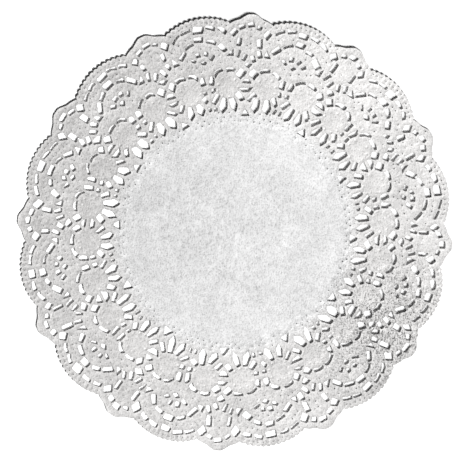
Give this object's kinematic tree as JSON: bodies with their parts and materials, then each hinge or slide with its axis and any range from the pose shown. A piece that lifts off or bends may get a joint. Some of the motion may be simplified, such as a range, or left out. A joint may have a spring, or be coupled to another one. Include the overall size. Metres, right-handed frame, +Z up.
{
  "type": "paper doily",
  "caption": "Round white paper-lace doily: plain centre, die-cut openwork border, scalloped edge of toothed arches and small lobes; lies flat.",
  "frame": {"origin": "centre of the underside, on the surface that the doily lies on", "axes": "+Z up out of the surface; a small lobe of the edge points along each of +X, +Y, -X and -Y"},
  "size_m": [0.254, 0.254, 0.001],
  "materials": {
    "paper": "uncoated embossed white paper, fibrous, matt"
  },
  "bodies": {
    "root": {"doily": "paper"}
  },
  "joints": []
}
